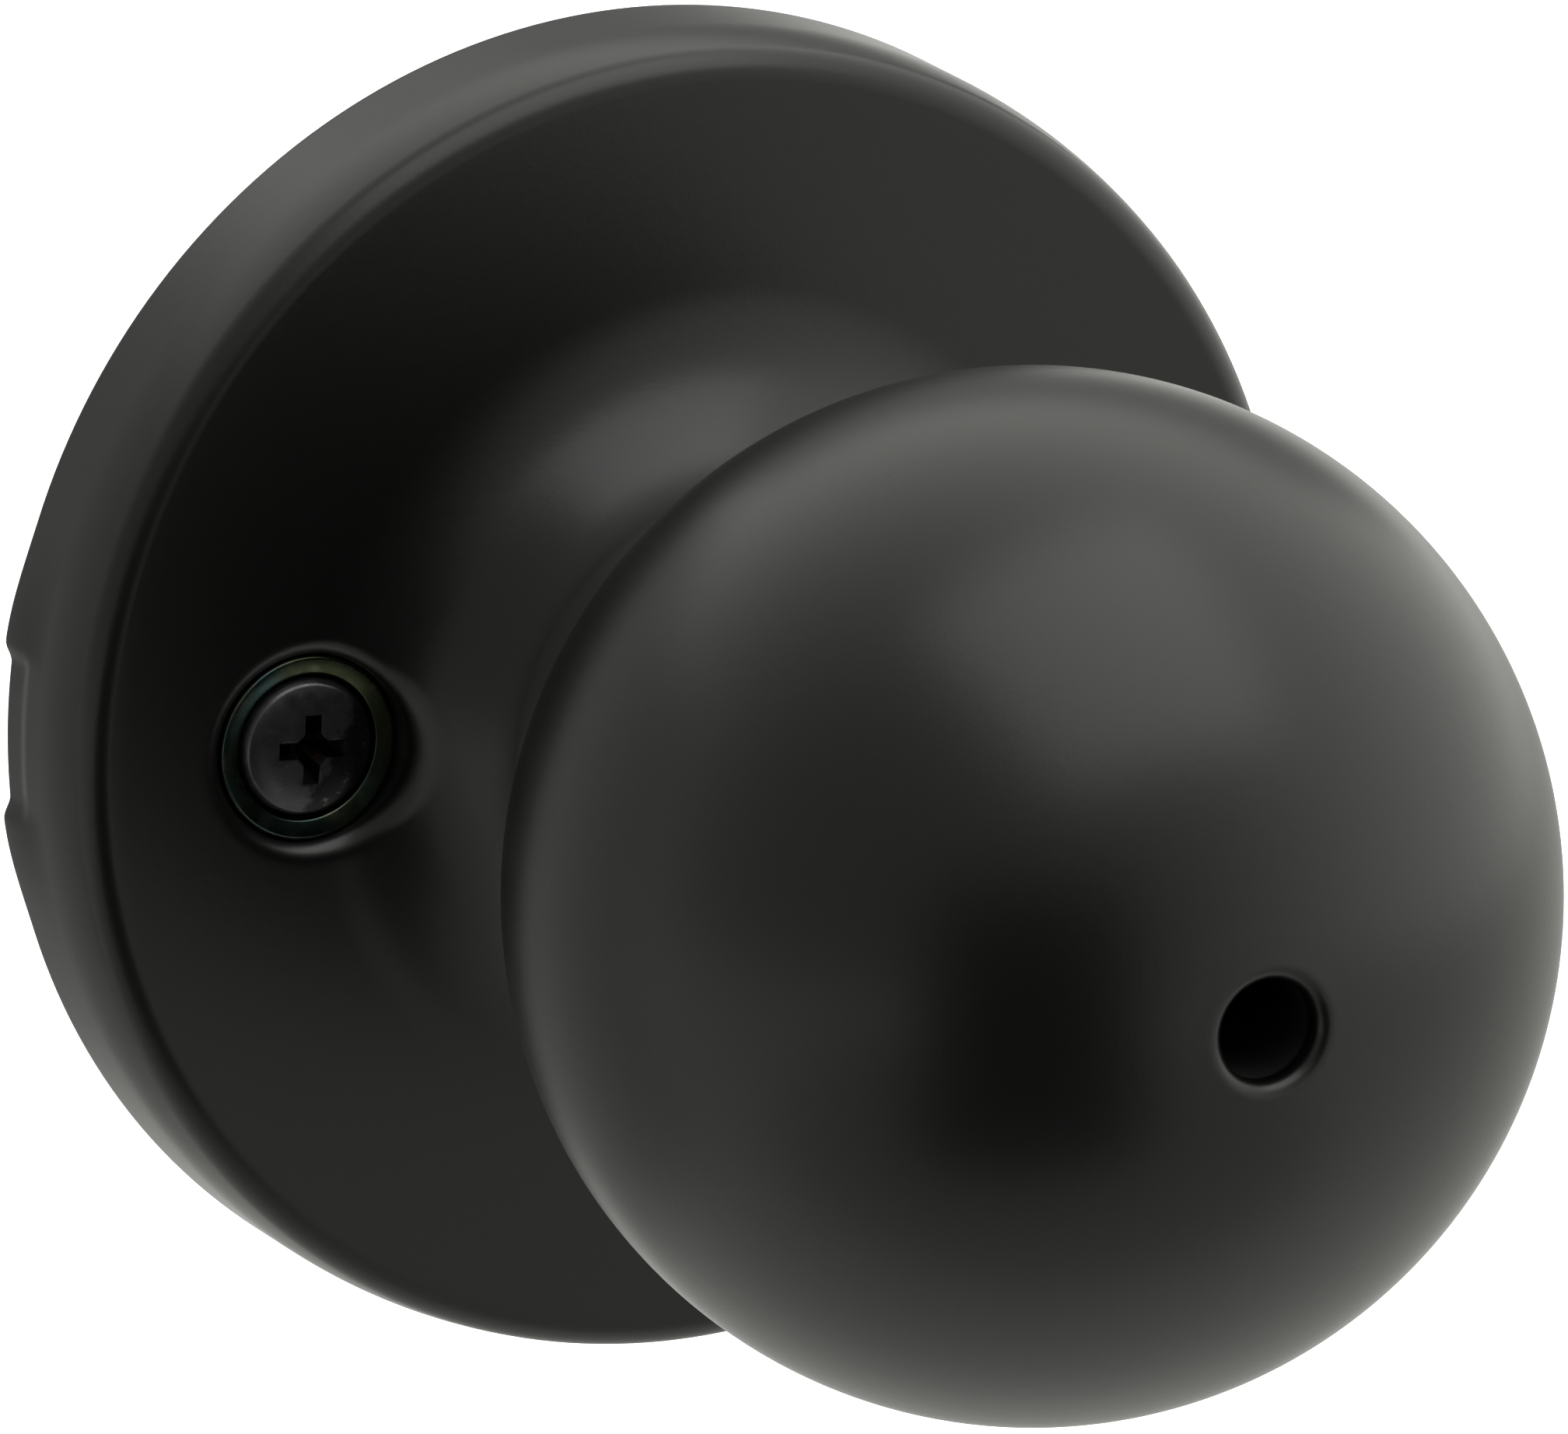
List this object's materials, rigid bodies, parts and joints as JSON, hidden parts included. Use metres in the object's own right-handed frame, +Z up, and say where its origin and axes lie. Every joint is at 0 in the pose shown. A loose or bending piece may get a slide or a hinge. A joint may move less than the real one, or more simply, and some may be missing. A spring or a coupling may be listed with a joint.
{
  "type": "door knob",
  "caption": "Inside half of a privacy door knob: ball knob on a dished round rose, with a sprung hollow shank and an emergency release stem.",
  "frame": {"origin": "on the knob's axis, in the plane of the door's face that the rose's rim rests on", "axes": "+Y into the door along the knob's axis, so the knob points to -Y; +Z up; +X right as seen by someone facing the knob"},
  "size_m": [0.0666, 0.1189, 0.0666],
  "materials": {
    "satin_black_paint": "satin black powder coat with a fine orange-peel texture",
    "black_zinc_plate": "black chromated zinc plate on pressed steel, with an olive and blue-green sheen",
    "clear_zinc_plate": "clear zinc plate on pressed steel",
    "spring_steel": "oiled spring steel",
    "die_cast_zinc": "as-cast zinc alloy",
    "black_screw_finish": "black oxide with a little wear in the recess",
    "white_nylon": "moulded natural nylon",
    "black_nylon": "moulded black nylon",
    "brass_rod": "turned brass",
    "black_rubber": "matt rubber"
  },
  "bodies": {
    "rose_assembly": {"rose": "satin_black_paint", "rose_liner": "black_zinc_plate", "spring_cage": "clear_zinc_plate", "neck_bushing": "white_nylon", "thrust_washer": "spring_steel", "return_spring": "spring_steel", "mounting_screw_left": "black_screw_finish", "mounting_screw_right": "black_screw_finish", "cage_rivet_1": "clear_zinc_plate", "cage_rivet_2": "clear_zinc_plate", "cage_rivet_3": "clear_zinc_plate", "cage_rivet_4": "clear_zinc_plate"},
    "knob": {"knob_shell": "satin_black_paint", "knob_core": "die_cast_zinc", "knob_shank": "clear_zinc_plate", "spring_driver": "clear_zinc_plate", "wave_washer": "spring_steel", "retaining_ring": "spring_steel", "release_guide": "black_nylon", "spindle": "clear_zinc_plate", "spindle_pin_left": "spring_steel", "spindle_pin_right": "spring_steel"},
    "release": {"release_stem": "brass_rod", "friction_ring": "black_rubber", "stem_clip": "spring_steel"}
  },
  "joints": [
    {"name": "knob_turn", "type": "hinge", "parent": "rose_assembly", "child": "knob", "pos_m": [0, 0, 0], "axis": [0, -1, 0], "range_deg": [-55, 55], "stiffness_Nm_per_rad": 0.25, "deforming": ["return_spring"]},
    {"name": "release_turn", "type": "hinge", "parent": "knob", "child": "release", "pos_m": [0, -0.036, 0], "axis": [0, -1, 0], "range_deg": [0, 90]}
  ]
}
